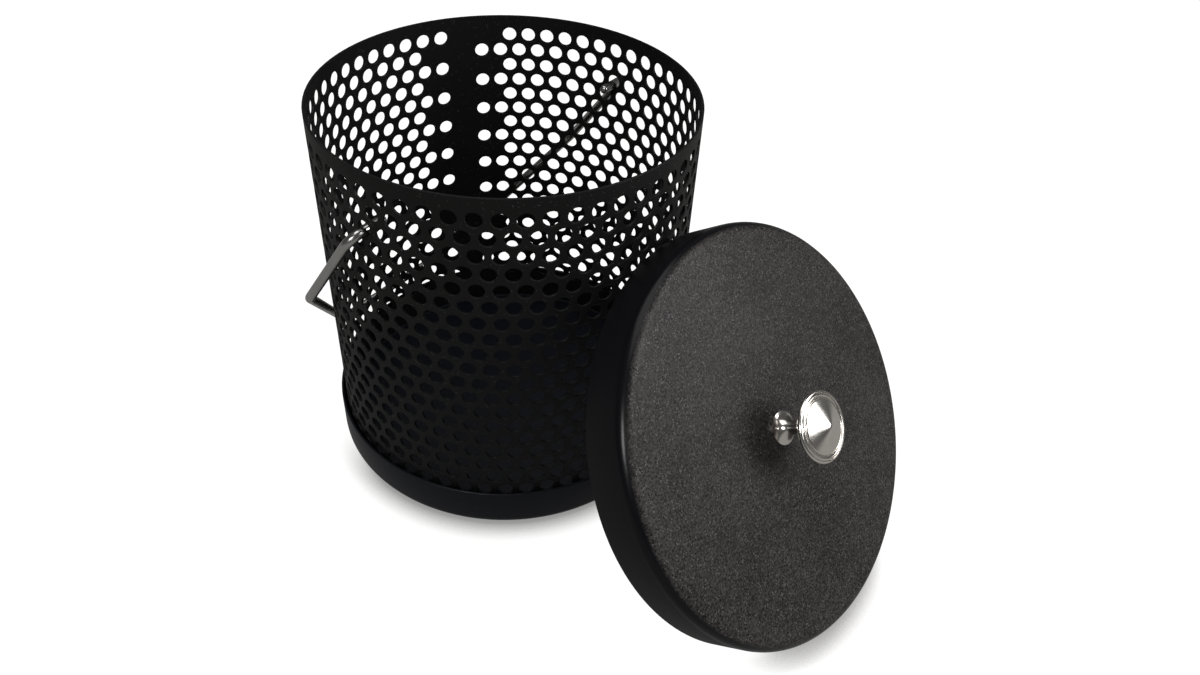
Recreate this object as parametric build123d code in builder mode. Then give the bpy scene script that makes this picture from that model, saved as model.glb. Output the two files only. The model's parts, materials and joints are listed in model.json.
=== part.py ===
from build123d import *
import math
import os

# A stovetop popcorn popper: a perforated drum standing in a base pan, a bent rod for a bail, and a
# lift-off lid with a knob. Millimetres, +Z up. The origin is the centre of the pan's underside, and X
# runs along the bail's pivots. The bail hangs on the +Y side, and the lid leans on the drum on the
# -Y side.

os.makedirs("parts", exist_ok=True)

# ---------------------------------------------------------------- driving dimensions
# Drum, rolled from one sheet of standard perforated steel and welded along a plain seam
drum_diameter = 196.97  # to the middle of the sheet
drum_height = 208.1
drum_sheet = 1.2
hole_diameter = 7.9375  # 5/16 in
hole_pitch = 11.1125  # 7/16 in, the rows staggered at 60 degrees
rim_margin = 11.35  # from the rim to the centres of the top row
foot_margin = 22.0  # least plain sheet below the centres of the lowest row
seam_margin = 40.0  # least plain sheet between hole centres across the seam
front_hole = 20  # the hole of the odd rows that faces the lid, counted from the seam
stagger_pitches = 1.5  # how much nearer to the seam the even rows start

# Base pan and lid, two pressings from one tool
cap_sheet = 1.5
cap_depth = 25.0
cap_corner = 6.0  # outside radius between face and skirt
cap_edge = 0.5  # rounding of the skirt's open edge
cap_clearance = 1.4  # skirt to drum, all round
seat_clearance = 0.05  # the drum's foot to the corner radius that centres it

# Bail, one bent round rod that hooks into two holes of the drum
rod_diameter = 5.0
rod_tip = 1.8  # rounding of the rod's ends
bail_row = 3  # the row that it hooks into, counted from the rim
bail_offset = 6.1  # the drum's wall to the near side of the rod's arms
bail_arm = 64.4  # pivot to the arm's bend
bail_reach = 174.7  # pivot to the grip
grip_length = 83.6  # between the grip's two corners
bail_stub = 11.5  # how far each end reaches inside the drum
pivot_bend = 7.0  # bend radii, to the middle of the rod
bail_bend = 9.0
pivot_clearance = 0.05  # under the rod where it hangs in its hole
grip_clearance = 0.3  # grip to drum, where the hanging bail comes to rest

# Lid as it leans: its open edge stands on the ground and touches the drum's wall
lean_rise = 36.9  # how far the lid's axis points up from level, degrees
lean_azimuth = -93.7  # where round the drum it leans, degrees
lean_clearance = 0.3  # skirt's edge to the drum's wall

# Knob, turned from one bar
knob_diameter = 34.0
knob_height = 28.8
knob_foot_diameter = 16.4
knob_foot_height = 1.3
knob_neck_diameter = 6.4
knob_neck_start = 9.0  # where the foot's flare ends, above the lid
knob_flare = 1.6  # how far the foot's flare sinks in between its ends
knob_neck_end = 13.6  # where the head's underside begins
knob_bowl = 1.3  # how far that underside bulges
knob_rim_start = 22.2  # the head's rim, above the lid
knob_rim_height = 2.1
knob_ring_diameter = 30.6  # crest of the small ring inside the rim
knob_ring_rise = 0.9  # its crest above the rim
knob_groove_diameter = 27.4  # inside the ring, where the head's low cone begins
knob_cone_rise = 18.5  # slope of the cone, degrees
knob_tip_radius = 6.0  # rounding of the cone's tip

# Screw and washer that hold the knob, from inside the lid
screw_diameter = 4.0
screw_reach = 10.0  # how far it goes up inside the knob
screw_head_diameter = 8.4
screw_head_height = 2.6
screw_head_side = 0.9  # straight side under the head's dome
screw_slot_width = 1.2
screw_slot_depth = 1.3
screw_hole_clearance = 0.25  # round the screw, in lid and washer
thread_clearance = 0.05  # round the screw, in the knob
washer_diameter = 12.0
washer_sheet = 0.9

# ---------------------------------------------------------------- worked out from these
drum_middle = drum_diameter / 2
drum_outer = drum_middle + drum_sheet / 2
drum_inner = drum_middle - drum_sheet / 2
cap_inner = drum_outer + cap_clearance
cap_outer = cap_inner + cap_sheet
cap_inner_corner = max(cap_corner - cap_sheet, cap_edge)

# The drum's foot stands in the pan's corner radius, which lifts it a little off the flat floor
foot_overlap = max(cap_inner_corner - cap_clearance, 0)
foot_rise = cap_inner_corner - math.sqrt(cap_inner_corner**2 - foot_overlap**2)
drum_foot = cap_sheet + foot_rise + seat_clearance
drum_rim = drum_foot + drum_height

# Holes: as many as the sheet takes between its margins
row_pitch = hole_pitch * math.sqrt(3) / 2
hole_step = math.degrees(hole_pitch / drum_middle)
holes_per_row = int((math.pi * drum_diameter - seam_margin) / hole_pitch) + 1
hole_rows = int((drum_height - rim_margin - foot_margin) / row_pitch) + 1
hole_radius = hole_diameter / 2
top_row = drum_rim - rim_margin
first_azimuth = -90 + front_hole * hole_step

# The bail's two holes lie as many holes either side of the front one, a quarter turn away
pivot_azimuth = -90 + round(90 / hole_step) * hole_step
rod_radius = rod_diameter / 2
pivot_y = drum_middle * math.sin(math.radians(pivot_azimuth))
pivot_z = top_row - (bail_row - 1) * row_pitch - (hole_radius - rod_radius - pivot_clearance)
bail_x = drum_outer + bail_offset + rod_radius
stub_x = drum_inner - bail_stub
bail_hang = math.asin((drum_outer + grip_clearance + rod_radius - pivot_y) / bail_reach)

# Lid: its axis, and the middle of its face
lean = math.radians(lean_rise)
away = Vector(1, 0, 0).rotate(Axis.Z, lean_azimuth)
lid_level = away.rotate(Axis.Z, 90)
lid_axis = away * math.cos(lean) + Vector(0, 0, math.sin(lean))
mouth_out = (cap_outer - cap_edge) * math.sin(lean) - cap_edge * math.cos(lean) + cap_edge
mouth_up = (cap_outer - cap_edge) * math.cos(lean) - cap_edge * math.sin(lean) + cap_edge
lid_mouth = away * (drum_outer + lean_clearance + mouth_out) + Vector(0, 0, mouth_up)
lid_face = lid_mouth + lid_axis * cap_depth


def section(origin, level, axis):
    """The plane through an axis: X runs along level, and Y along the axis."""
    return Plane(origin=origin, x_dir=level, z_dir=level.cross(axis))


# ---------------------------------------------------------------- perforated drum
def perforated_ring(start_azimuth):
    """The stretch of drum that carries one row of holes, from start_azimuth on."""
    spots = []
    for number in range(holes_per_row):
        out = Vector(1, 0, 0).rotate(Axis.Z, start_azimuth - number * hole_step)
        inside = out * (drum_inner - drum_sheet) + Vector(0, 0, row_pitch / 2)
        spots.append(Location(Plane(origin=inside, z_dir=out)))
    with BuildPart() as ring:
        with BuildSketch():
            Circle(drum_outer)
            Circle(drum_inner, mode=Mode.SUBTRACT)
        extrude(amount=row_pitch)
        with Locations(*spots):
            Cylinder(
                hole_radius,
                drum_sheet * 3,
                align=(Align.CENTER, Align.CENTER, Align.MIN),
                mode=Mode.SUBTRACT,
            )
    return ring.part


def plain_ring(bottom, height):
    """A stretch of drum with no holes."""
    with BuildPart() as ring:
        with BuildSketch(Plane.XY.offset(bottom)):
            Circle(drum_outer)
            Circle(drum_inner, mode=Mode.SUBTRACT)
        extrude(amount=height)
    return ring.part


odd_ring = perforated_ring(first_azimuth)
even_ring = perforated_ring(first_azimuth + stagger_pitches * hole_step)
rings = []
for row in range(hole_rows):
    ring_bottom = top_row - (row + 0.5) * row_pitch
    rings.append((odd_ring if row % 2 == 0 else even_ring).moved(Location((0, 0, ring_bottom))))
holes_end = top_row - (hole_rows - 0.5) * row_pitch
holes_start = top_row + row_pitch / 2

with BuildPart() as perforated_drum:
    add(rings, clean=False)
    add(plain_ring(holes_start, drum_rim - holes_start), clean=False)
    add(plain_ring(drum_foot, holes_end - drum_foot), clean=False)
perforated_drum.part.label = "perforated_drum"


# ---------------------------------------------------------------- base pan and lid
def pressed_cap(origin, level, axis):
    """A shallow round pressing: its face is at origin, and its skirt runs along the axis."""
    with BuildPart() as cap:
        with BuildSketch(section(origin, level, axis)):
            with BuildLine():
                sheet = FilletPolyline(
                    (0, 0),
                    (cap_outer, 0),
                    (cap_outer, cap_depth),
                    (cap_inner, cap_depth),
                    (cap_inner, cap_sheet),
                    (0, cap_sheet),
                    radius=(cap_corner, cap_edge, cap_edge, cap_inner_corner),
                )
                Line(sheet @ 1, sheet @ 0)
            make_face()
        revolve(axis=Axis(origin, axis))
    return cap.part


with BuildPart() as base_pan:
    add(pressed_cap(Vector(0, 0, 0), Vector(1, 0, 0), Vector(0, 0, 1)))
base_pan.part.label = "base_pan"

with BuildPart() as lid:
    add(pressed_cap(lid_face, lid_level, -lid_axis))
    with BuildSketch(Plane(origin=lid_face, x_dir=lid_level, z_dir=-lid_axis)):
        Circle(screw_diameter / 2 + screw_hole_clearance)
    extrude(amount=cap_sheet, mode=Mode.SUBTRACT)
lid.part.label = "lid"

# ---------------------------------------------------------------- knob, screw and washer
knob_radius = knob_diameter / 2
foot_radius = knob_foot_diameter / 2
neck_radius = knob_neck_diameter / 2
ring_radius = knob_ring_diameter / 2
groove_radius = knob_groove_diameter / 2
rim_middle = knob_rim_start + knob_rim_height / 2
rim_end = knob_rim_start + knob_rim_height
rim_shoulder = knob_radius - knob_rim_height / 2
ring_crest = rim_end + knob_ring_rise
cone = math.radians(knob_cone_rise)
tip_edge = knob_tip_radius * math.sin(cone)
tip_base = knob_height - knob_tip_radius * (1 - math.cos(cone))
groove_floor = tip_base - (groove_radius - tip_edge) * math.tan(cone)

with BuildPart() as lid_knob:
    with BuildSketch(section(lid_face, lid_level, lid_axis)):
        with BuildLine():
            foot = Polyline((0, 0), (foot_radius, 0), (foot_radius, knob_foot_height))
            flare = SagittaArc(foot @ 1, (neck_radius, knob_neck_start), knob_flare)
            neck = Line(flare @ 1, (neck_radius, knob_neck_end))
            underside = SagittaArc(neck @ 1, (rim_shoulder, knob_rim_start), -knob_bowl)
            rim = ThreePointArc(underside @ 1, (knob_radius, rim_middle), (rim_shoulder, rim_end))
            ring = ThreePointArc(rim @ 1, (ring_radius, ring_crest), (groove_radius, groove_floor))
            slope = Line(ring @ 1, (tip_edge, tip_base))
            tip = RadiusArc(slope @ 1, (0, knob_height), -knob_tip_radius)
            Line(tip @ 1, foot @ 0)
        make_face()
    revolve(axis=Axis(lid_face, lid_axis))
    with BuildSketch(Plane(origin=lid_face, x_dir=lid_level, z_dir=lid_axis)):
        Circle(screw_diameter / 2 + thread_clearance)
    extrude(amount=screw_reach + thread_clearance, mode=Mode.SUBTRACT)
lid_knob.part.label = "lid_knob"

washer_seat = lid_face - lid_axis * cap_sheet
head_seat = washer_seat - lid_axis * washer_sheet
head_top = head_seat - lid_axis * screw_head_height

with BuildPart() as knob_washer:
    with BuildSketch(Plane(origin=washer_seat, x_dir=lid_level, z_dir=-lid_axis)):
        Circle(washer_diameter / 2)
        Circle(screw_diameter / 2 + screw_hole_clearance, mode=Mode.SUBTRACT)
    extrude(amount=washer_sheet)
knob_washer.part.label = "knob_washer"

screw_end = -(washer_sheet + cap_sheet + screw_reach)
head_radius = screw_head_diameter / 2
dome_rise = screw_head_height - screw_head_side
dome_radius = (head_radius**2 + dome_rise**2) / (2 * dome_rise)

with BuildPart() as knob_screw:
    with BuildSketch(section(head_seat, lid_level, -lid_axis)):
        with BuildLine():
            shank = Polyline(
                (0, screw_end),
                (screw_diameter / 2, screw_end),
                (screw_diameter / 2, 0),
                (head_radius, 0),
                (head_radius, screw_head_side),
            )
            dome = RadiusArc(shank @ 1, (0, screw_head_height), -dome_radius)
            Line(dome @ 1, shank @ 0)
        make_face()
    revolve(axis=Axis(head_seat, lid_axis))
    with BuildSketch(Plane(origin=head_top, x_dir=lid_level, z_dir=lid_axis)):
        Rectangle(screw_head_diameter, screw_slot_width)
    extrude(amount=screw_slot_depth, mode=Mode.SUBTRACT)
knob_screw.part.label = "knob_screw"

# ---------------------------------------------------------------- bail
# The rod lies in one plane: X along the pivots, Y along the hanging arms
bail_plane = Plane(
    origin=(0, pivot_y, pivot_z),
    x_dir=(1, 0, 0),
    z_dir=(0, math.cos(bail_hang), math.sin(bail_hang)),
)

with BuildPart() as bail_handle:
    with BuildLine(bail_plane):
        bends = FilletPolyline(
            (-stub_x, 0),
            (-bail_x, 0),
            (-bail_x, bail_arm),
            (-grip_length / 2, bail_reach),
            (grip_length / 2, bail_reach),
            (bail_x, bail_arm),
            (bail_x, 0),
            (stub_x, 0),
            radius=(pivot_bend, bail_bend, bail_bend, bail_bend, bail_bend, pivot_bend),
        )
    with BuildSketch(Plane(origin=bends @ 0, z_dir=bends % 0)):
        Circle(rod_radius)
    sweep()
    fillet(bail_handle.faces().filter_by(Axis.X).edges(), rod_tip)
bail_handle.part.label = "bail_handle"

# ---------------------------------------------------------------- files
print("holes", holes_per_row, "in each of", hole_rows, "rows; bail hangs at", math.degrees(bail_hang))
for piece in (base_pan, perforated_drum, bail_handle, lid, lid_knob, knob_screw, knob_washer):
    # The hole edges are written once each, as curves in space, because there are thousands
    export_step(piece.part, f"parts/{piece.part.label}.step", write_pcurves=False)
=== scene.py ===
import json
import logging
import math
from collections.abc import Callable
from dataclasses import dataclass
from enum import Enum

import bpy
from mathutils import Matrix, Vector


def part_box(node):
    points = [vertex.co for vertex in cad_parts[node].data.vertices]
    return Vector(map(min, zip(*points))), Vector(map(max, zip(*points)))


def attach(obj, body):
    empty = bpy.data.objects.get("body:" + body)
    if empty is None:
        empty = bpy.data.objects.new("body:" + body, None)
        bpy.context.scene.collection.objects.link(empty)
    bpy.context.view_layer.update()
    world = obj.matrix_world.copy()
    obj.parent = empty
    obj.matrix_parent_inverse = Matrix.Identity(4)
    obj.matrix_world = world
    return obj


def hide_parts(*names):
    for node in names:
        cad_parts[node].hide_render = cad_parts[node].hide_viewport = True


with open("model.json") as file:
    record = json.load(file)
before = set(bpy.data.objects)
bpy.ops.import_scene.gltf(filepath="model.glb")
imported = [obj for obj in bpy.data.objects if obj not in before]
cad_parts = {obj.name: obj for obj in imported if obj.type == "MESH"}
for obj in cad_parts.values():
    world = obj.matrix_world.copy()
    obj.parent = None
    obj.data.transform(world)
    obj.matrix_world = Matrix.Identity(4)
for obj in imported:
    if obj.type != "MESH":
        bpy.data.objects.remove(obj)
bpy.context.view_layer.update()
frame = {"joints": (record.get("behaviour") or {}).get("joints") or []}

log = logging.getLogger("popper")

MM = 0.001
MERGE = 0.01 * MM  # vertices nearer than this are one
FACING = 0.999  # least cosine of a face that looks along an axis
PATCHES_TO_GRAINS = 0.37  # scale of the noise that chooses among grains, to the grains' own
Profile = list[tuple[float, float]]
Colour = tuple[float, float, float]


class Slot(Enum):
    """The record's material slots."""

    PAN = "pan_coat"
    DRUM = "drum_coat"
    BAIL = "bail_steel"
    LID = "lid_coat"
    KNOB = "knob_nickel"
    SCREW = "screw_steel"


class Body(Enum):
    """The bodies that pieces ride on."""

    POPPER = "popper"
    BAIL = "bail"
    LID = "lid"


# ------------------------------------------------------------------------------ shader maths
class Value:
    """A number that varies over a surface: arithmetic on it adds Math nodes."""

    def __init__(self, bench: "Bench", socket: bpy.types.NodeSocket) -> None:
        """Wraps a socket.

        Args:
            bench: The bench whose material holds the socket.
            socket: The output socket that gives the number.
        """
        self.bench = bench
        self.socket = socket

    def _math(self, operation: str, left: "Value | float", right: "Value | float") -> "Value":
        """Adds one Math node.

        Args:
            operation: The node's operation.
            left: Its first number.
            right: Its second number.

        Returns:
            The node's result.
        """
        return self.bench.make("ShaderNodeMath", {"operation": operation}, {0: left, 1: right})

    def __add__(self, other: "Value | float") -> "Value":
        """self + other."""
        return self._math("ADD", self, other)

    def __radd__(self, other: float) -> "Value":
        """other + self."""
        return self._math("ADD", other, self)

    def __sub__(self, other: "Value | float") -> "Value":
        """self - other."""
        return self._math("SUBTRACT", self, other)

    def __rsub__(self, other: float) -> "Value":
        """other - self."""
        return self._math("SUBTRACT", other, self)

    def __mul__(self, other: "Value | float") -> "Value":
        """self * other."""
        return self._math("MULTIPLY", self, other)

    def within(self, low: float, high: float) -> "Value":
        """How far the number is from low to high, eased and held between 0 and 1.

        Args:
            low: The number that gives 0.
            high: The number that gives 1.

        Returns:
            The eased share.
        """
        return self.bench.make(
            "ShaderNodeMapRange",
            {"interpolation_type": "SMOOTHSTEP"},
            {"Value": self, "From Min": low, "From Max": high},
        )


@dataclass(frozen=True)
class Specks:
    """Round specks scattered over a coat.

    Attributes:
        scale: Grains to the metre.
        size: A speck's radius, as a share of a grain.
        share: How many of the grains are specks, about.
    """

    scale: float
    size: float
    share: float


class Bench:
    """One material's node tree and its main shader."""

    def __init__(self, name: str) -> None:
        """Starts a material with one Principled shader.

        Args:
            name: The material's name.
        """
        self.material = bpy.data.materials.new(name)
        self.material.use_nodes = True
        self.tree = self.material.node_tree
        self.shader = self.tree.nodes["Principled BSDF"]
        self.place = self.make("ShaderNodeTexCoord", {}, {}, "Object")

    def make(
        self,
        kind: str,
        settings: dict[str, object],
        inputs: dict[str | int, object],
        output: str | int = 0,
    ) -> Value:
        """Adds a node.

        Args:
            kind: The node's type.
            settings: Its own settings, set first.
            inputs: A value or a link for each socket, by name or number.
            output: The output that is wanted.

        Returns:
            That output.
        """
        node = self.tree.nodes.new(kind)
        for name, setting in settings.items():
            setattr(node, name, setting)
        for name, value in inputs.items():
            self.plug(node.inputs[name], value)
        return Value(self, node.outputs[output])

    def plug(self, socket: bpy.types.NodeSocket, value: object) -> None:
        """Sets a socket to a value, or links it.

        Args:
            socket: The input socket.
            value: A Value, or a plain number or colour.
        """
        if isinstance(value, Value):
            self.tree.links.new(value.socket, socket)
        else:
            socket.default_value = value

    def noise(self, scale: float, detail: float = 2.0, stretch: Colour = (1, 1, 1)) -> Value:
        """Soft noise in the piece's own space.

        Args:
            scale: Features to the metre.
            detail: Octaves.
            stretch: A factor on the scale along each axis.

        Returns:
            The noise, from 0 to 1.
        """
        place = self.place
        if stretch != (1, 1, 1):
            place = self.make("ShaderNodeMapping", {}, {"Vector": self.place, "Scale": stretch})
        return self.make(
            "ShaderNodeTexNoise", {}, {"Vector": place, "Scale": scale, "Detail": detail}
        )

    def grains(self, scale: float) -> Value:
        """Distance from the middle of the nearest of many scattered grains.

        Args:
            scale: Grains to the metre.

        Returns:
            The distance, about 0 to 1.
        """
        return self.make("ShaderNodeTexVoronoi", {}, {"Vector": self.place, "Scale": scale})

    def specks(self, kind: Specks) -> Value:
        """Scatters specks: some of the grains only, as a coarser noise chooses.

        Args:
            kind: Their scale, size and share.

        Returns:
            1 on a speck and 0 elsewhere.
        """
        limit = 1.0 - kind.share
        chosen = self.noise(kind.scale * PATCHES_TO_GRAINS, 1.0).within(limit, limit + 0.02)
        return (1.0 - self.grains(kind.scale).within(kind.size / 2, kind.size)) * chosen

    def blend(self, share: Value, low: Colour | Value, high: Colour | Value) -> Value:
        """Mixes two colours.

        Args:
            share: How much of the second.
            low: The colour at 0.
            high: The colour at 1.

        Returns:
            The mixed colour.
        """
        sides = [side if isinstance(side, Value) else (*side, 1.0) for side in (low, high)]
        return self.make(
            "ShaderNodeMix",
            {"data_type": "RGBA"},
            {0: share, 6: sides[0], 7: sides[1]},
            2,
        )

    def offset(self, centre: Vector) -> Value:
        """The place on the surface, measured from a point.

        Args:
            centre: The point, in the piece's own space.

        Returns:
            The vector from the point.
        """
        inputs = {0: self.place, 1: centre}
        return self.make("ShaderNodeVectorMath", {"operation": "SUBTRACT"}, inputs)

    def along(self, place: Value, axis: Vector | Colour) -> Value:
        """How far a place is along an axis.

        Args:
            place: The place, as a vector.
            axis: The axis, one metre long.

        Returns:
            The distance.
        """
        inputs = {0: place, 1: axis}
        return self.make("ShaderNodeVectorMath", {"operation": "DOT_PRODUCT"}, inputs, "Value")

    def bump(self, height: Value, distance: float) -> Value:
        """A normal from a height.

        Args:
            height: The height, from 0 to 1.
            distance: How high 1 stands, in metres.

        Returns:
            The normal.
        """
        return self.make("ShaderNodeBump", {}, {"Height": height, "Distance": distance})

    def finish(self, **sockets: object) -> bpy.types.Material:
        """Fills in the main shader.

        Args:
            **sockets: A value or a link for each of its inputs, with _ for a space.

        Returns:
            The material.
        """
        for name, value in sockets.items():
            self.plug(self.shader.inputs[name.replace("_", " ")], value)
        return self.material


# ------------------------------------------------------------------------------ finishes
@dataclass(frozen=True)
class SatinCoat:
    """A baked black coating on sheet steel: nearly even, with pale specks and a slight peel."""

    name: str
    colour: Colour
    cloud: Colour
    speck: Colour
    specks: Specks
    gloss: float
    peel_scale: float
    peel_height: float
    shine: float
    cloud_scale: float = 9.0
    cloud_edges: tuple[float, float] = (0.35, 0.7)
    peel_gloss: float = 0.12
    speck_gloss: float = 0.1

    def build(self) -> bpy.types.Material:
        """Makes the material."""
        bench = Bench(self.name)
        wander = bench.noise(self.cloud_scale, 3.0).within(*self.cloud_edges)
        base = bench.blend(wander, self.colour, self.cloud)
        specks = bench.specks(self.specks)
        peel = bench.noise(self.peel_scale, 4.0)
        return bench.finish(
            Base_Color=bench.blend(specks, base, self.speck),
            Roughness=self.gloss + (peel - 0.5) * self.peel_gloss - specks * self.speck_gloss,
            Normal=bench.bump(peel, self.peel_height),
            Specular_IOR_Level=self.shine,
        )


@dataclass(frozen=True)
class StippledEnamel:
    """The lid's enamel: a grainy charcoal face with pits and specks, and a smooth black skirt
    whose colour is made darker still with painted shade.
    """

    name: str
    centre: Vector
    axis: Vector
    face_dark: Colour
    face_pale: Colour
    pit: Colour
    speck: Colour
    # skirt colour: partly the black coat, partly painted shade where the skirt turns away from the
    # lamps
    skirt: Colour
    face_gloss: float
    corner_gloss: float
    skirt_gloss: float
    shine: float
    pits: Specks = Specks(740.0, 0.44, 0.62)
    specks: Specks = Specks(820.0, 0.34, 0.52)
    grain_scale: float = 1000.0
    grain_height: float = 0.16 * MM
    grain_edges: tuple[float, float] = (0.32, 0.68)
    cloud_scale: float = 26.0
    cloud_edges: tuple[float, float] = (0.3, 0.72)
    cloud_share: float = 0.25
    face_edge: tuple[float, float] = (-1.7 * MM, -0.4 * MM)
    corner_edge: tuple[float, float] = (-7.0 * MM, -4.5 * MM)

    def build(self) -> bpy.types.Material:
        """Makes the material."""
        bench = Bench(self.name)
        rise = bench.along(bench.offset(self.centre), self.axis)
        on_face = rise.within(*self.face_edge)
        on_corner = rise.within(*self.corner_edge)
        gloss = self.skirt_gloss + on_corner * (self.corner_gloss - self.skirt_gloss)
        grain = bench.noise(self.grain_scale, 3.0)
        cloud = bench.noise(self.cloud_scale, 3.0).within(*self.cloud_edges) * self.cloud_share
        mottle = grain.within(*self.grain_edges) * (1.0 - self.cloud_share) + cloud
        face = bench.blend(mottle, self.face_dark, self.face_pale)
        face = bench.blend(bench.specks(self.pits), face, self.pit)
        face = bench.blend(bench.specks(self.specks), face, self.speck)
        return bench.finish(
            # off the face, the skirt colour holds painted shade as well as the coat's own black
            Base_Color=bench.blend(on_face, self.skirt, face),
            Roughness=gloss + on_face * (self.face_gloss - self.corner_gloss),
            Normal=bench.bump(grain * on_face, self.grain_height),
            Specular_IOR_Level=self.shine,
        )


@dataclass(frozen=True)
class BrushedSteel:
    """Steel rod or wire, with fine scratches along one axis."""

    name: str
    colour: Colour
    gloss: float
    grain: Colour
    scratch_scale: float = 1400.0
    scratch_depth: float = 0.03 * MM
    scratch_gloss: float = 0.16
    smudge_scale: float = 60.0
    smudge_edges: tuple[float, float] = (0.3, 0.75)
    smudge_gloss: float = 0.05
    smudge_share: float = 0.6
    dimmest: float = 0.82

    def build(self) -> bpy.types.Material:
        """Makes the material."""
        bench = Bench(self.name)
        scratches = bench.noise(self.scratch_scale, 3.0, self.grain)
        smudge = bench.noise(self.smudge_scale, 3.0).within(*self.smudge_edges)
        dark = tuple(self.dimmest * part for part in self.colour)
        dimming = smudge * self.smudge_share + scratches * (1.0 - self.smudge_share)
        gloss = self.gloss + (scratches - 0.5) * self.scratch_gloss
        return bench.finish(
            Base_Color=bench.blend(dimming, self.colour, dark),
            Metallic=1.0,
            Roughness=gloss + smudge * self.smudge_gloss,
            Normal=bench.bump(scratches, self.scratch_depth),
        )


@dataclass(frozen=True)
class TurnedNickel:
    """Plated and polished, with faint rings from the lathe round the knob's own axis."""

    name: str
    colour: Colour
    gloss: float
    centre: Vector
    axis: Vector
    ring_scale: float = 900.0
    ring_depth: float = 0.001 * MM
    smudge_scale: float = 140.0
    smudge_edges: tuple[float, float] = (0.3, 0.8)
    smudge_gloss: float = 0.06
    dimmest: float = 0.9

    def build(self) -> bpy.types.Material:
        """Makes the material."""
        bench = Bench(self.name)
        turn = self.axis.to_track_quat("Z", "X").inverted().to_euler()
        inputs = {"Vector": bench.offset(self.centre), "Rotation": turn}
        local = bench.make("ShaderNodeMapping", {}, inputs)
        rings = bench.make(
            "ShaderNodeTexWave",
            {"wave_type": "RINGS", "rings_direction": "Z"},
            {"Vector": local, "Scale": self.ring_scale, "Distortion": 0.6, "Detail": 2.0},
            "Fac",
        )
        smudge = bench.noise(self.smudge_scale, 3.0).within(*self.smudge_edges)
        dark = tuple(self.dimmest * part for part in self.colour)
        return bench.finish(
            Base_Color=bench.blend(smudge, self.colour, dark),
            Metallic=1.0,
            Roughness=self.gloss + smudge * self.smudge_gloss,
            Normal=bench.bump(rings, self.ring_depth),
        )


# ------------------------------------------------------------------------------ bench work
def edit(piece: bpy.types.Object) -> None:
    """Opens a piece in edit mode with nothing selected."""
    bpy.ops.object.select_all(action="DESELECT")
    piece.select_set(True)
    bpy.context.view_layer.objects.active = piece
    bpy.ops.object.mode_set(mode="EDIT")
    bpy.ops.mesh.select_all(action="DESELECT")


def select_vertices(piece: bpy.types.Object, wanted: Callable[[Vector], bool]) -> None:
    """Selects the vertices that pass a test, while the piece is in edit mode.

    Args:
        piece: The piece.
        wanted: The test on a vertex's place.
    """
    bpy.ops.mesh.select_all(action="DESELECT")
    bpy.ops.object.mode_set(mode="OBJECT")
    for vertex in piece.data.vertices:
        vertex.select = wanted(vertex.co)
    bpy.ops.object.mode_set(mode="EDIT")


def apply_modifier(piece: bpy.types.Object, kind: str, **settings: object) -> None:
    """Adds a modifier and applies it.

    Args:
        piece: The piece.
        kind: The modifier's type.
        **settings: Its settings.
    """
    modifier = piece.modifiers.new(kind.lower(), kind)
    for name, setting in settings.items():
        setattr(modifier, name, setting)
    bpy.ops.object.select_all(action="DESELECT")
    piece.select_set(True)
    bpy.context.view_layer.objects.active = piece
    bpy.ops.object.modifier_apply(modifier=modifier.name)


def settle(piece: bpy.types.Object, place: Matrix, smooth_degrees: float = 38.0) -> None:
    """Puts a finished piece in its place, in its mesh, and smooths its shading.

    Args:
        piece: The piece.
        place: Where it goes.
        smooth_degrees: Edges sharper than this stay sharp.
    """
    piece.matrix_world = place
    bpy.ops.object.select_all(action="DESELECT")
    piece.select_set(True)
    bpy.context.view_layer.objects.active = piece
    bpy.ops.object.transform_apply(location=True, rotation=True, scale=True)
    edit(piece)
    bpy.ops.mesh.select_all(action="SELECT")
    bpy.ops.mesh.normals_make_consistent(inside=False)
    bpy.ops.object.mode_set(mode="OBJECT")
    bpy.ops.object.shade_smooth_by_angle(angle=math.radians(smooth_degrees))


def dress(
    piece: bpy.types.Object, node: str, body: Body, finish: bpy.types.Material
) -> None:
    """Gives a finished piece its finish and its place in the frame.

    Args:
        piece: The piece.
        node: The CAD node that it stands for.
        body: The body that it rides on.
        finish: Its material.
    """
    piece.data.materials.clear()
    piece.data.materials.append(finish)
    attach(piece, body.value)
    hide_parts(node)
    log.info("%s: %d faces, on %s", piece.name, len(piece.data.polygons), body.value)


def arc(start: tuple[float, float], end: tuple[float, float], bulge: float, steps: int) -> Profile:
    """Points along a circular arc, without its start.

    Args:
        start: The arc's start, as radius and height.
        end: Its end.
        bulge: How far it stands to the right of its chord.
        steps: How many pieces it has.

    Returns:
        The points.
    """
    chord = Vector(end) - Vector(start)
    side = Vector((chord.y, -chord.x)).normalized()
    radius = (chord.length**2 / 4 + bulge**2) / (2 * abs(bulge))
    to_right = math.copysign(1.0, bulge)
    centre = (Vector(start) + Vector(end)) / 2 + side * to_right * (abs(bulge) - radius)
    first = Vector(start) - centre
    sweep = 2 * math.asin(min(1.0, chord.length / (2 * radius)))
    if abs(bulge) > radius:
        sweep = 2 * math.pi - sweep
    turn = to_right * sweep
    points = []
    for step in range(1, steps + 1):
        angle = turn * step / steps
        x = first.x * math.cos(angle) - first.y * math.sin(angle)
        y = first.x * math.sin(angle) + first.y * math.cos(angle)
        points.append((centre.x + x, centre.y + y))
    return points


def join(piece: bpy.types.Object, other: bpy.types.Object) -> None:
    """Joins another piece into this one."""
    bpy.ops.object.select_all(action="DESELECT")
    other.select_set(True)
    piece.select_set(True)
    bpy.context.view_layer.objects.active = piece
    bpy.ops.object.join()


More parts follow.
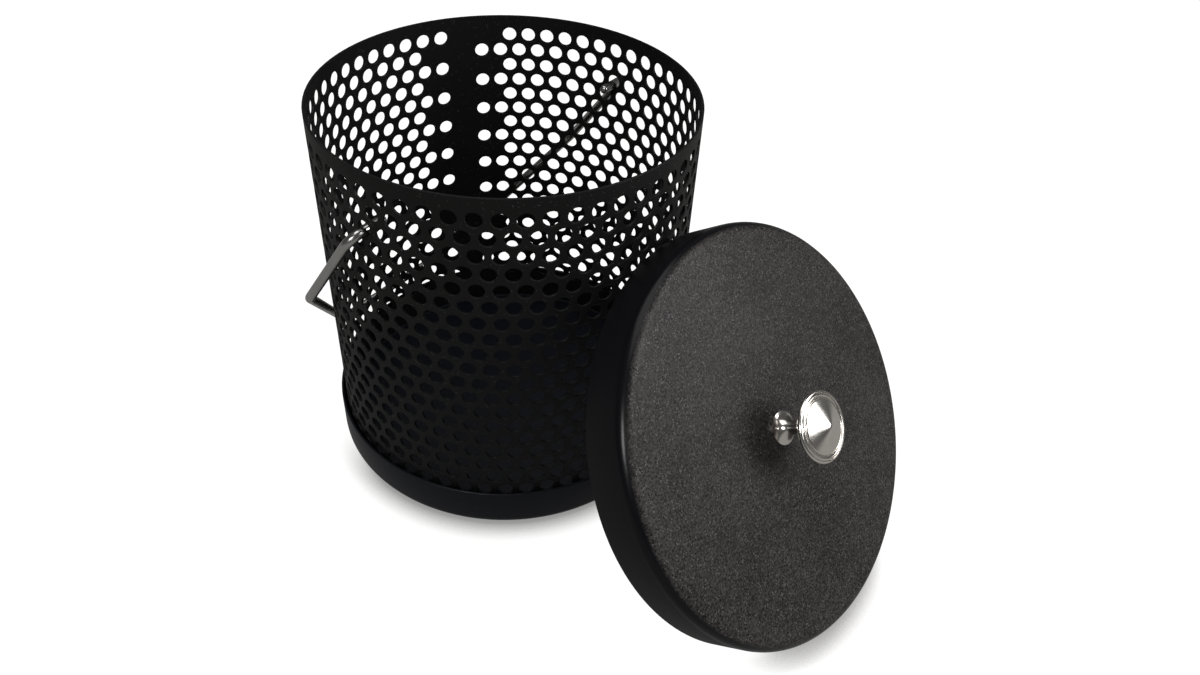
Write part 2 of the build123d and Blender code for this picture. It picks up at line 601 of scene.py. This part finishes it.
def turned(
    name: str, profile: Profile, segments: int, capped: bool = True
) -> bpy.types.Object:
    """Turns a piece round the Z axis: a ring is extruded from station to station.

    Args:
        name: The piece's name.
        profile: Its stations, as radius and height, from one end to the other.
        segments: Sides of the ring.
        capped: Whether both ends are closed with a face.

    Returns:
        The piece.
    """
    radius, height = profile[0]
    bpy.ops.object.select_all(action="DESELECT")
    bpy.ops.mesh.primitive_circle_add(vertices=segments, radius=radius, location=(0, 0, height))
    piece = bpy.context.object
    piece.name = name
    bpy.ops.object.transform_apply(location=True)
    bpy.ops.object.mode_set(mode="EDIT")
    bpy.ops.mesh.select_all(action="SELECT")
    for next_radius, next_height in profile[1:]:
        bpy.ops.mesh.extrude_region_move(
            TRANSFORM_OT_translate={"value": (0, 0, next_height - height)}
        )
        grow = next_radius / radius
        bpy.ops.transform.resize(value=(grow, grow, 1), center_override=(0, 0, next_height))
        radius, height = next_radius, next_height
    bpy.ops.mesh.select_all(action="SELECT")
    if capped:
        bpy.ops.mesh.fill_holes(sides=0)
    bpy.ops.object.mode_set(mode="OBJECT")
    return piece


# ------------------------------------------------------------------------------ pressings
@dataclass
class Pressing:
    """The base pan and the lid are one pressing: a round face, a rolled corner and a skirt."""

    radius: float
    depth: float
    sheet: float = 1.5 * MM
    corner: float = 6.0 * MM
    edge: float = 0.5 * MM
    hub: float = 3.0 * MM
    segments: int = 160
    corner_steps: int = 8
    edge_steps: int = 3

    def profile(self) -> Profile:
        """The sheet's section, from the outside of the face round the skirt to its inside."""
        inner = self.radius - self.sheet
        inner_corner = self.corner - self.sheet
        quarter = 1 - math.sqrt(0.5)
        points = [(self.hub, 0.0), (self.radius - self.corner, 0.0)]
        rounds = (
            ((self.radius, self.corner), self.corner, self.corner_steps),
            ((self.radius, self.depth - self.edge), 0.0, 1),
            ((self.radius - self.edge, self.depth), self.edge, self.edge_steps),
            ((inner + self.edge, self.depth), 0.0, 1),
            ((inner, self.depth - self.edge), self.edge, self.edge_steps),
            ((inner, self.sheet + inner_corner), 0.0, 1),
            ((inner - inner_corner, self.sheet), -inner_corner, self.corner_steps),
            ((self.hub, self.sheet), 0.0, 1),
        )
        for end, radius, steps in rounds:
            if radius:
                points += arc(points[-1], end, radius * quarter, steps)
            else:
                points.append(end)
        return points

    def build(self, name: str, place: Matrix) -> bpy.types.Object:
        """Turns the pressing and puts it in its place.

        Args:
            name: The piece's name.
            place: Its face is at this place's origin, and its skirt runs along Z.

        Returns:
            The piece.
        """
        piece = turned(name, self.profile(), self.segments)
        settle(piece, place)
        return piece


# ------------------------------------------------------------------------------ drum
@dataclass
class Drum:
    """The perforated drum: one brick of sheet with its hole, laid in rows, and rolled up."""

    radius: float
    foot: float
    rim: float
    sheet: float = 1.2 * MM
    hole: float = 7.9375 * MM
    pitch: float = 11.1125 * MM
    rim_margin: float = 11.35 * MM
    holes: int = 53
    rows: int = 19
    front_hole: int = 20
    stagger: float = 1.5
    hole_sides: int = 16
    edge: float = 0.12 * MM
    edge_angle: float = math.radians(60)
    brick_start: float = 1.5

    def __post_init__(self) -> None:
        """Works out the flat sheet."""
        self.middle = self.radius - self.sheet / 2
        self.length = 2 * math.pi * self.middle
        self.row = self.pitch * math.sqrt(3) / 2
        self.odd_end = (self.front_hole + 0.5) * self.pitch
        self.even_end = self.odd_end + self.stagger * self.pitch
        blank = self.length - (self.holes + self.stagger) * self.pitch
        self.seam = self.even_end + blank / 2

    def brick(self) -> bpy.types.Object:
        """One punched brick of flat sheet, its hole in the middle.

        The hole's corners stand a little outside its circle and its sides a little inside.
        """
        half_side = math.pi / self.hole_sides
        swell = 1 / math.sqrt(math.cos(half_side))
        bpy.ops.object.select_all(action="DESELECT")
        bpy.ops.mesh.primitive_circle_add(
            vertices=self.hole_sides,
            radius=self.hole / 2 * swell,
            rotation=(0, 0, half_side),
        )
        piece = bpy.context.object
        bpy.ops.object.transform_apply(rotation=True)
        bpy.ops.object.mode_set(mode="EDIT")
        bpy.ops.mesh.select_all(action="SELECT")
        bpy.ops.mesh.extrude_region_move()
        bpy.ops.transform.resize(value=(self.brick_start,) * 3)
        bpy.ops.object.mode_set(mode="OBJECT")
        for vertex in piece.data.vertices:
            if vertex.co.length > self.hole / 2 * (1 + self.brick_start) / 2:
                eighth = round(math.atan2(vertex.co.y, vertex.co.x) / (math.pi / 4))
                across = round(math.cos(eighth * math.pi / 4))
                up = round(math.sin(eighth * math.pi / 4))
                vertex.co = (across * self.pitch / 2, up * self.row / 2, 0)
        edit(piece)
        bpy.ops.mesh.select_all(action="SELECT")
        bpy.ops.mesh.remove_doubles(threshold=MERGE)
        bpy.ops.object.mode_set(mode="OBJECT")
        return piece

    def row_of_bricks(self, end: float, name: str) -> bpy.types.Object:
        """A row from seam to seam: punched bricks, and plain sheet at both ends.

        Args:
            end: Where the row's last punched brick ends, along the sheet.
            name: The row's name.

        Returns:
            The row, lying flat along X.
        """
        piece = self.brick()
        piece.name = name
        apply_modifier(
            piece,
            "ARRAY",
            count=self.holes,
            use_relative_offset=False,
            use_constant_offset=True,
            constant_offset_displace=(self.pitch, 0, 0),
            use_merge_vertices=True,
            merge_threshold=MERGE,
        )
        start = end - self.holes * self.pitch
        piece.data.transform(Matrix.Translation((start + self.pitch / 2, 0, 0)))
        odd_start = self.odd_end - self.holes * self.pitch
        sides = ((end, self.even_end, self.seam), (start, odd_start, self.seam - self.length))
        for edge, last_brick, stop in sides:
            halves = round(abs(last_brick - edge) / (self.pitch / 2))
            stops = [edge + (last_brick - edge) * (k + 1) / halves for k in range(halves)]
            edit(piece)
            select_vertices(piece, lambda co, at=edge: abs(co.x - at) < MERGE)
            for next_edge in (*stops, stop):
                bpy.ops.mesh.extrude_region_move(
                    TRANSFORM_OT_translate={"value": (next_edge - edge, 0, 0)}
                )
                edge = next_edge
            bpy.ops.object.mode_set(mode="OBJECT")
        return piece

    def flat_sheet(self) -> bpy.types.Object:
        """The whole sheet before it is rolled, in the XZ plane, its top row of holes at Z 0."""
        piece = self.row_of_bricks(self.odd_end, "perforated_drum_sheet")
        even = self.row_of_bricks(self.even_end, "even_row")
        even.data.transform(Matrix.Translation((0, -self.row, 0)))
        join(piece, even)
        apply_modifier(
            piece,
            "ARRAY",
            count=(self.rows + 1) // 2,
            use_relative_offset=False,
            use_constant_offset=True,
            constant_offset_displace=(0, -2 * self.row, 0),
        )
        lowest = -(self.rows - 0.5) * self.row
        edit(piece)
        select_vertices(piece, lambda co: co.y < lowest - MERGE)
        bpy.ops.mesh.delete(type="VERT")
        bpy.ops.mesh.select_all(action="SELECT")
        bpy.ops.mesh.remove_doubles(threshold=MERGE)
        for edge, stop in (
            (self.row / 2, self.rim_margin),
            (lowest, self.foot - self.rim + self.rim_margin),
        ):
            select_vertices(piece, lambda co, at=edge: abs(co.y - at) < MERGE)
            bpy.ops.mesh.extrude_region_move(
                TRANSFORM_OT_translate={"value": (0, stop - edge, 0)}
            )
        bpy.ops.object.mode_set(mode="OBJECT")
        piece.data.transform(Matrix.Rotation(math.pi / 2, 4, "X"))
        return piece

    def build(self, name: str) -> bpy.types.Object:
        """Gives the flat sheet its thickness, eases the holes' edges and rolls it up.

        Args:
            name: The piece's name.

        Returns:
            The piece.
        """
        piece = self.flat_sheet()
        piece.name = name
        apply_modifier(piece, "SOLIDIFY", thickness=self.sheet, offset=0)
        edit(piece)
        bpy.ops.object.mode_set(mode="OBJECT")
        ends = (self.seam, self.seam - self.length)
        for face in piece.data.polygons:
            to_end = min(abs(face.center.x - end) for end in ends)
            face.select = abs(face.normal.x) > FACING and to_end < MERGE
        bpy.ops.object.mode_set(mode="EDIT")
        bpy.ops.mesh.select_mode(type="FACE")
        bpy.ops.mesh.delete(type="ONLY_FACE")
        bpy.ops.mesh.select_mode(type="VERT")
        bpy.ops.object.mode_set(mode="OBJECT")
        apply_modifier(
            piece,
            "BEVEL",
            width=self.edge,
            segments=1,
            limit_method="ANGLE",
            angle_limit=self.edge_angle,
        )
        apply_modifier(
            piece,
            "SIMPLE_DEFORM",
            deform_method="BEND",
            deform_axis="Z",
            angle=2 * math.pi,
        )
        edit(piece)
        bpy.ops.mesh.select_all(action="SELECT")
        bpy.ops.mesh.remove_doubles(threshold=MERGE)
        bpy.ops.object.mode_set(mode="OBJECT")
        top_row = self.rim - self.rim_margin
        settle(piece, Matrix.Translation((0, -self.middle, top_row)))
        return piece


# ------------------------------------------------------------------------------ bail
@dataclass
class Bail:
    """The bail: one round rod, bent in one plane, its ends hooked into the drum."""

    pivot: Vector
    drum_radius: float
    drum_sheet: float = 1.2 * MM
    rod: float = 2.5 * MM
    tip: float = 1.8 * MM
    offset: float = 6.1 * MM
    arm: float = 64.4 * MM
    reach: float = 174.7 * MM
    grip: float = 83.6 * MM
    stub: float = 11.5 * MM
    pivot_bend: float = 7.0 * MM
    bend: float = 9.0 * MM
    rest_clearance: float = 0.3 * MM
    sides: int = 40
    tip_steps: int = 5
    bend_step: float = math.radians(6)
    fewest_steps: int = 4

    def build(self, name: str) -> bpy.types.Object:
        """Bends half the rod from its tip to the middle of the grip, and mirrors it.

        Args:
            name: The piece's name.

        Returns:
            The piece.
        """
        stub_end = self.drum_radius - self.drum_sheet - self.stub
        arm_x = self.drum_radius + self.offset + self.rod
        slant = math.atan2(arm_x - self.grip / 2, self.reach - self.arm)
        slanted = math.hypot(arm_x - self.grip / 2, self.reach - self.arm)
        bends = (
            (math.pi / 2, self.pivot_bend),
            (slant, self.bend),
            (math.pi / 2 - slant, self.bend),
        )
        used = [radius * math.tan(turn / 2) for turn, radius in bends]
        runs = (
            arm_x - stub_end - self.tip - used[0],
            self.arm - used[0] - used[1],
            slanted - used[1] - used[2],
            self.grip / 2 - used[2],
        )
        bpy.ops.object.select_all(action="DESELECT")
        bpy.ops.mesh.primitive_circle_add(
            vertices=self.sides,
            radius=self.rod - self.tip,
            location=(-stub_end, 0, 0),
            rotation=(0, math.pi / 2, 0),
        )
        piece = bpy.context.object
        piece.name = name
        bpy.ops.object.transform_apply(location=True, rotation=True)
        bpy.ops.object.mode_set(mode="EDIT")
        bpy.ops.mesh.select_all(action="SELECT")
        radius, place = self.rod - self.tip, Vector((-stub_end, 0, 0))
        for step in range(1, self.tip_steps + 1):
            angle = math.pi / 2 * step / self.tip_steps
            wider = self.rod - self.tip + self.tip * math.sin(angle)
            ahead = Vector((-stub_end - self.tip * (1 - math.cos(angle)), 0, 0))
            bpy.ops.mesh.extrude_region_move(TRANSFORM_OT_translate={"value": ahead - place})
            grow = wider / radius
            bpy.ops.transform.resize(value=(1, grow, grow), center_override=ahead)
            radius, place = wider, ahead
        heading = Vector((-1, 0, 0))
        for run, (turn, radius) in zip(runs, (*bends, (0.0, 0.0)), strict=True):
            bpy.ops.mesh.extrude_region_move(TRANSFORM_OT_translate={"value": heading * run})
            place += heading * run
            if turn:
                quarter = Matrix.Rotation(-math.pi / 2, 3, "Y")
                centre = place + quarter @ heading * radius
                steps = max(self.fewest_steps, round(turn / self.bend_step))
                bpy.ops.mesh.spin(steps=steps, angle=turn, center=centre, axis=(0, 1, 0))
                bent = Matrix.Rotation(-turn, 3, "Y")
                place = centre + bent @ (place - centre)
                heading = bent @ heading
        bpy.ops.object.mode_set(mode="OBJECT")
        apply_modifier(piece, "MIRROR", merge_threshold=MERGE * 5)
        edit(piece)
        bpy.ops.mesh.select_all(action="SELECT")
        bpy.ops.mesh.fill_holes(sides=0)
        bpy.ops.object.mode_set(mode="OBJECT")
        rest = self.drum_radius + self.rest_clearance + self.rod - self.pivot.y
        hang = Matrix.Rotation(math.asin(rest / self.reach), 4, "X")
        settle(piece, Matrix.Translation(self.pivot) @ hang)
        return piece


# ------------------------------------------------------------------------------ knob
@dataclass
class Knob:
    """The turned knob, with the screw and washer that hold it from inside the lid."""

    place: Matrix
    lid_sheet: float = 1.5 * MM
    radius: float = 17.0 * MM
    height: float = 28.8 * MM
    foot: float = 8.2 * MM
    foot_height: float = 1.3 * MM
    neck: float = 3.2 * MM
    neck_start: float = 9.0 * MM
    flare: float = 1.6 * MM
    neck_end: float = 13.6 * MM
    bowl: float = 1.3 * MM
    rim_start: float = 22.2 * MM
    rim_height: float = 2.1 * MM
    notch: float = 0.44 * MM
    notch_depth: float = 0.3 * MM
    ring_bulge: float = 0.62 * MM
    groove: float = 13.7 * MM
    groove_depth: float = 0.35 * MM
    groove_floor: float = 0.4 * MM
    cone_foot: float = 12.5 * MM
    cone_foot_bulge: float = 0.16 * MM
    cone_slope: float = math.radians(18.5)
    tip_radius: float = 6.0 * MM
    pole: float = 0.2 * MM
    knob_sides: int = 96
    screw: float = 2.0 * MM
    screw_lead: float = 0.4 * MM
    screw_reach: float = 10.0 * MM
    head: float = 4.2 * MM
    head_height: float = 2.6 * MM
    head_side: float = 0.9 * MM
    slot_width: float = 1.2 * MM
    slot_depth: float = 1.3 * MM
    washer: float = 6.0 * MM
    washer_sheet: float = 0.9 * MM
    washer_edge: float = 0.12 * MM
    hole: float = 2.25 * MM

    def knob(self, name: str) -> bpy.types.Object:
        """Turns the knob: foot, flare, neck, bowl, rim, ring, groove and low cone."""
        rim_end = self.rim_start + self.rim_height
        shoulder = self.radius - self.rim_height / 2
        tip_edge = self.tip_radius * math.sin(self.cone_slope)
        tip_base = self.height - self.tip_radius * (1 - math.cos(self.cone_slope))
        floor = tip_base - (self.groove - tip_edge) * math.tan(self.cone_slope)
        points = [(self.pole, 0.0), (self.foot, 0.0), (self.foot, self.foot_height)]
        points += arc(points[-1], (self.neck, self.neck_start), -self.flare, 12)
        points.append((self.neck, self.neck_end))
        points += arc(points[-1], (shoulder, self.rim_start), self.bowl, 14)
        points += arc(points[-1], (shoulder, rim_end), self.rim_height / 2, 12)
        points.append((shoulder - self.notch / 2, rim_end - self.notch_depth))
        points.append((shoulder - self.notch, rim_end))
        points += arc(points[-1], (self.groove, floor - self.groove_depth), self.ring_bulge, 10)
        points.append((self.groove - self.groove_floor, floor - self.groove_depth))
        foot_height = floor + (self.groove - self.cone_foot) * math.tan(self.cone_slope)
        points += arc(points[-1], (self.cone_foot, foot_height), self.cone_foot_bulge, 6)
        points.append((tip_edge * 3, tip_base - tip_edge * 2 * math.tan(self.cone_slope)))
        points.append((tip_edge, tip_base))
        tip_bulge = self.tip_radius * (1 - math.cos(self.cone_slope / 2))
        points += arc(points[-1], (self.pole, self.height), tip_bulge, 4)
        piece = turned(name, points, self.knob_sides)
        settle(piece, self.place, 30.0)
        return piece

    def washer_piece(self, name: str) -> bpy.types.Object:
        """The flat washer against the inside of the lid."""
        top = -self.lid_sheet
        low = top - self.washer_sheet
        ease = self.washer_edge
        points = [
            (self.hole, top),
            (self.washer - ease, top),
            (self.washer, top - ease),
            (self.washer, low + ease),
            (self.washer - ease, low),
            (self.hole, low),
        ]
        piece = turned(name, points, 64, capped=False)
        edit(piece)
        select_vertices(piece, lambda co: math.hypot(co.x, co.y) < self.hole + MERGE)
        bpy.ops.mesh.bridge_edge_loops()
        bpy.ops.object.mode_set(mode="OBJECT")
        settle(piece, self.place)
        return piece

    def screw_piece(self, name: str) -> bpy.types.Object:
        """The round-head screw, with its slot sawn across the head."""
        length = self.screw_reach + self.lid_sheet + self.washer_sheet
        top = length + self.head_height
        points = [
            (self.pole, 0.0),
            (self.screw - self.screw_lead, 0.0),
            (self.screw, self.screw_lead),
            (self.screw, length),
            (self.head, length),
            (self.head, length + self.head_side),
        ]
        rise = self.head_height - self.head_side
        dome = (self.head**2 + rise**2) / (2 * rise)
        half = math.asin(self.head / dome) / 2
        points += arc(points[-1], (self.pole, top), dome * (1 - math.cos(half)), 8)
        piece = turned(name, points, 48)
        bpy.ops.object.select_all(action="DESELECT")
        bpy.ops.mesh.primitive_cube_add(
            location=(0, 0, top),
            scale=(self.head * 1.2, self.slot_width / 2, self.slot_depth),
        )
        saw = bpy.context.object
        bpy.ops.object.transform_apply(location=True, scale=True)
        apply_modifier(piece, "BOOLEAN", operation="DIFFERENCE", object=saw, solver="EXACT")
        bpy.data.objects.remove(saw)
        upside_down = Matrix.Rotation(math.pi, 4, "X")
        settle(piece, self.place @ Matrix.Translation((0, 0, self.screw_reach)) @ upside_down)
        return piece


# ------------------------------------------------------------------------------ studio
@dataclass(frozen=True)
class Lamp:
    """A square soft lamp."""

    name: str
    place: tuple[float, float, float]
    size: float
    watts: float
    target: tuple[float, float, float] = (0.0, -0.05, 0.1)

    def hang(self) -> None:
        """Puts the lamp in the scene, facing its target."""
        data = bpy.data.lights.new(self.name, "AREA")
        data.size = self.size
        data.energy = self.watts
        lamp = bpy.data.objects.new(self.name, data)
        bpy.context.scene.collection.objects.link(lamp)
        lamp.location = self.place
        facing = Vector(self.target) - Vector(self.place)
        lamp.rotation_euler = facing.to_track_quat("-Z", "Y").to_euler()


@dataclass
class Studio:
    """A floor that is seen as white but for the object's contact shadow, a sky and the lamps."""

    floor_size: float = 30.0
    floor_colour: Colour = (0.17, 0.165, 0.155)
    seen_glow: float = 1.0
    mirrored_glow: float = 0.16
    contact: float = 19 * MM
    darkest: float = 0.74
    shade_edges: tuple[float, float] = (0.42, 0.94)
    shade_falls: Colour = (-0.63, -0.775, 0.0)
    shade_start: float = 60 * MM
    sky_seen: float = 1.0
    sky_light: float = 0.095
    lamps: tuple[Lamp, ...] = (
        Lamp("overhead", (0.1, 0.15, 1.4), 1.0, 6.0),
        Lamp("front", (0.43, -1.02, 0.76), 0.72, 10.6),
        Lamp("left", (-1.1, -0.25, 0.93), 0.36, 7.5),
    )

    def build(self) -> None:
        """Makes the floor, the world and the lamps."""
        bpy.ops.object.select_all(action="DESELECT")
        bpy.ops.mesh.primitive_plane_add(size=self.floor_size)
        floor = bpy.context.object
        floor.name = "floor"
        bench = Bench("pale_floor")
        seen = bench.make("ShaderNodeLightPath", {}, {}, "Is Camera Ray")
        mirrored = bench.make("ShaderNodeLightPath", {}, {}, "Is Glossy Ray")
        openness = bench.make(
            "ShaderNodeAmbientOcclusion", {"samples": 8}, {"Distance": self.contact}, "AO"
        )
        forward = bench.along(bench.place, self.shade_falls).within(0.0, self.shade_start)
        shade = (1.0 - openness.within(*self.shade_edges)) * forward * self.darkest
        glow = seen * (1.0 - shade) * self.seen_glow + mirrored * self.mirrored_glow
        floor.data.materials.append(
            bench.finish(
                Base_Color=(*self.floor_colour, 1.0),
                Roughness=1.0,
                Specular_IOR_Level=0.0,
                Emission_Color=bench.blend(glow, (0.0, 0.0, 0.0), (1.0, 1.0, 1.0)),
                Emission_Strength=1.0,
            )
        )
        self.light_world()
        for lamp in self.lamps:
            lamp.hang()

    def light_world(self) -> None:
        """A plain sky: white where it is seen, and dimmer as a light."""
        world = bpy.data.worlds.new("studio_sky")
        bpy.context.scene.world = world
        world.use_nodes = True
        tree = world.node_tree
        background = tree.nodes["Background"]
        background.inputs["Color"].default_value = (1.0, 1.0, 1.0, 1.0)
        path = tree.nodes.new("ShaderNodeLightPath")
        strength = tree.nodes.new("ShaderNodeMapRange")
        strength.inputs["To Min"].default_value = self.sky_light
        strength.inputs["To Max"].default_value = self.sky_seen
        tree.links.new(path.outputs["Is Camera Ray"], strength.inputs["Value"])
        tree.links.new(strength.outputs[0], background.inputs["Strength"])


@dataclass
class PhotoCamera:
    """The camera, where the photograph was taken from."""

    radius: float = 0.42595
    azimuth: float = math.radians(-139.53)
    height: float = 0.4226
    heading: float = math.radians(33.485)
    pitch: float = math.radians(37.037)
    roll: float = math.radians(3.406)
    lens: float = 27.846
    shift_down: float = 0.0576

    def build(self) -> None:
        """Places the camera and makes it the scene's own."""
        ahead = Vector((math.cos(self.heading), math.sin(self.heading), 0))
        ahead = ahead * math.cos(self.pitch) - Vector((0, 0, math.sin(self.pitch)))
        level = Vector((math.sin(self.heading), -math.cos(self.heading), 0))
        upright = level.cross(ahead)
        right = level * math.cos(self.roll) + upright * math.sin(self.roll)
        up = upright * math.cos(self.roll) - level * math.sin(self.roll)
        level_place = Matrix.Rotation(self.azimuth, 3, "Z") @ Vector((self.radius, 0, 0))
        place = level_place + Vector((0, 0, self.height))
        data = bpy.data.cameras.new("photo_camera")
        data.lens = self.lens
        data.shift_y = -self.shift_down
        data.clip_start = 0.01
        camera = bpy.data.objects.new("photo_camera", data)
        turn = Matrix((right, up, -ahead)).transposed().to_4x4()
        camera.matrix_world = Matrix.Translation(place) @ turn
        bpy.context.scene.collection.objects.link(camera)
        bpy.context.scene.camera = camera


# ------------------------------------------------------------------------------ the popper
@dataclass
class Popper:
    """The whole popper: it reads its sizes from the frame and builds each piece in turn."""

    lean_clearance: float = 0.3 * MM

    def __post_init__(self) -> None:
        """Reads the frame."""
        _, pan_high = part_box("base_pan")
        drum_low, drum_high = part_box("perforated_drum")
        joints = {joint["name"]: joint for joint in frame["joints"]}
        self.cap = Pressing(pan_high.x, pan_high.z)
        self.drum = Drum(drum_high.x, drum_low.z, drum_high.z)
        self.bail = Bail(Vector(joints["bail_swing"]["pos_m"]), drum_high.x)
        self.lid_axis = Vector(joints["lid_lift"]["axis"]).normalized()
        self.lid_face = self.find_lid_face(drum_high.x)

    def find_lid_face(self, drum_radius: float) -> Vector:
        """The middle of the leaning lid's face: its open edge stands on the ground, by the drum.

        Args:
            drum_radius: Outside of the drum.

        Returns:
            The middle of the face, on its outside.
        """
        away = Vector((self.lid_axis.x, self.lid_axis.y, 0))
        level, rise = away.length, self.lid_axis.z
        away.normalize()
        edge, reach = self.cap.edge, self.cap.radius - self.cap.edge
        out = drum_radius + self.lean_clearance + reach * rise - edge * level + edge
        up = reach * level - edge * rise + edge
        return away * out + Vector((0, 0, up)) + self.lid_axis * self.cap.depth

    def lid_place(self, inward: bool) -> Matrix:
        """The lid's own place: its origin at the face, and Z along its axis.

        Args:
            inward: Whether Z points into the lid, and not out of it.

        Returns:
            The place.
        """
        z = -self.lid_axis if inward else self.lid_axis
        x = Vector((0, 0, 1)).cross(z).normalized()
        turn = Matrix((x, z.cross(x), z)).transposed().to_4x4()
        return Matrix.Translation(self.lid_face) @ turn

    def build(self) -> None:
        """Builds and dresses every piece."""
        drum_coat = SatinCoat(
            name="drum_coat",
            colour=(0.0045, 0.0045, 0.0046),
            cloud=(0.0065, 0.0064, 0.0063),
            speck=(0.07, 0.07, 0.07),
            specks=Specks(900.0, 0.25, 0.42),
            gloss=0.5,
            peel_scale=700.0,
            peel_height=0.05 * MM,
            shine=0.16,
        ).build()
        pan_coat = SatinCoat(
            name="pan_coat",
            colour=(0.0052, 0.006, 0.0092),
            cloud=(0.0072, 0.0082, 0.0122),
            speck=(0.09, 0.09, 0.09),
            specks=Specks(900.0, 0.2, 0.36),
            gloss=0.36,
            peel_scale=500.0,
            peel_height=0.02 * MM,
            shine=0.2,
        ).build()
        lid_coat = StippledEnamel(
            name="lid_coat",
            centre=self.lid_face,
            axis=self.lid_axis,
            face_dark=(0.0072, 0.0063, 0.006),
            face_pale=(0.055, 0.0492, 0.0474),
            pit=(0.004, 0.0036, 0.0035),
            speck=(0.115, 0.108, 0.11),
            # the skirt colour is the black coat darkened further with painted shade
            skirt=(0.0042, 0.0042, 0.0054),
            face_gloss=0.42,
            corner_gloss=0.25,
            skirt_gloss=0.5,
            shine=0.17,
        ).build()
        bail_steel = BrushedSteel("bail_steel", (0.5, 0.495, 0.48), 0.2, (0.06, 1.0, 1.0)).build()
        nickel = TurnedNickel(
            "knob_nickel", (0.74, 0.705, 0.66), 0.16, self.lid_face, self.lid_axis
        ).build()
        zinc = BrushedSteel("screw_steel", (0.5, 0.5, 0.51), 0.32, (1.0, 1.0, 1.0)).build()

        pan = self.cap.build("base_pan_pressing", Matrix.Identity(4))
        dress(pan, "base_pan", Body.POPPER, pan_coat)
        drum = self.drum.build("drum_sheet")
        dress(drum, "perforated_drum", Body.POPPER, drum_coat)
        bail = self.bail.build("bail_rod")
        dress(bail, "bail_handle", Body.BAIL, bail_steel)
        lid = self.cap.build("lid_pressing", self.lid_place(inward=True))
        dress(lid, "lid", Body.LID, lid_coat)
        parts = Knob(self.lid_place(inward=False))
        dress(parts.knob("turned_knob"), "lid_knob", Body.LID, nickel)
        dress(parts.washer_piece("flat_washer"), "knob_washer", Body.LID, zinc)
        dress(parts.screw_piece("slotted_screw"), "knob_screw", Body.LID, zinc)


def main() -> None:
    """Builds the popper, its studio and the camera."""
    logging.basicConfig(level=logging.INFO, format="%(name)s: %(message)s")
    Popper().build()
    Studio().build()
    PhotoCamera().build()
    bpy.context.scene.view_settings.view_transform = "Standard"


if __name__ == "__main__":
    main()
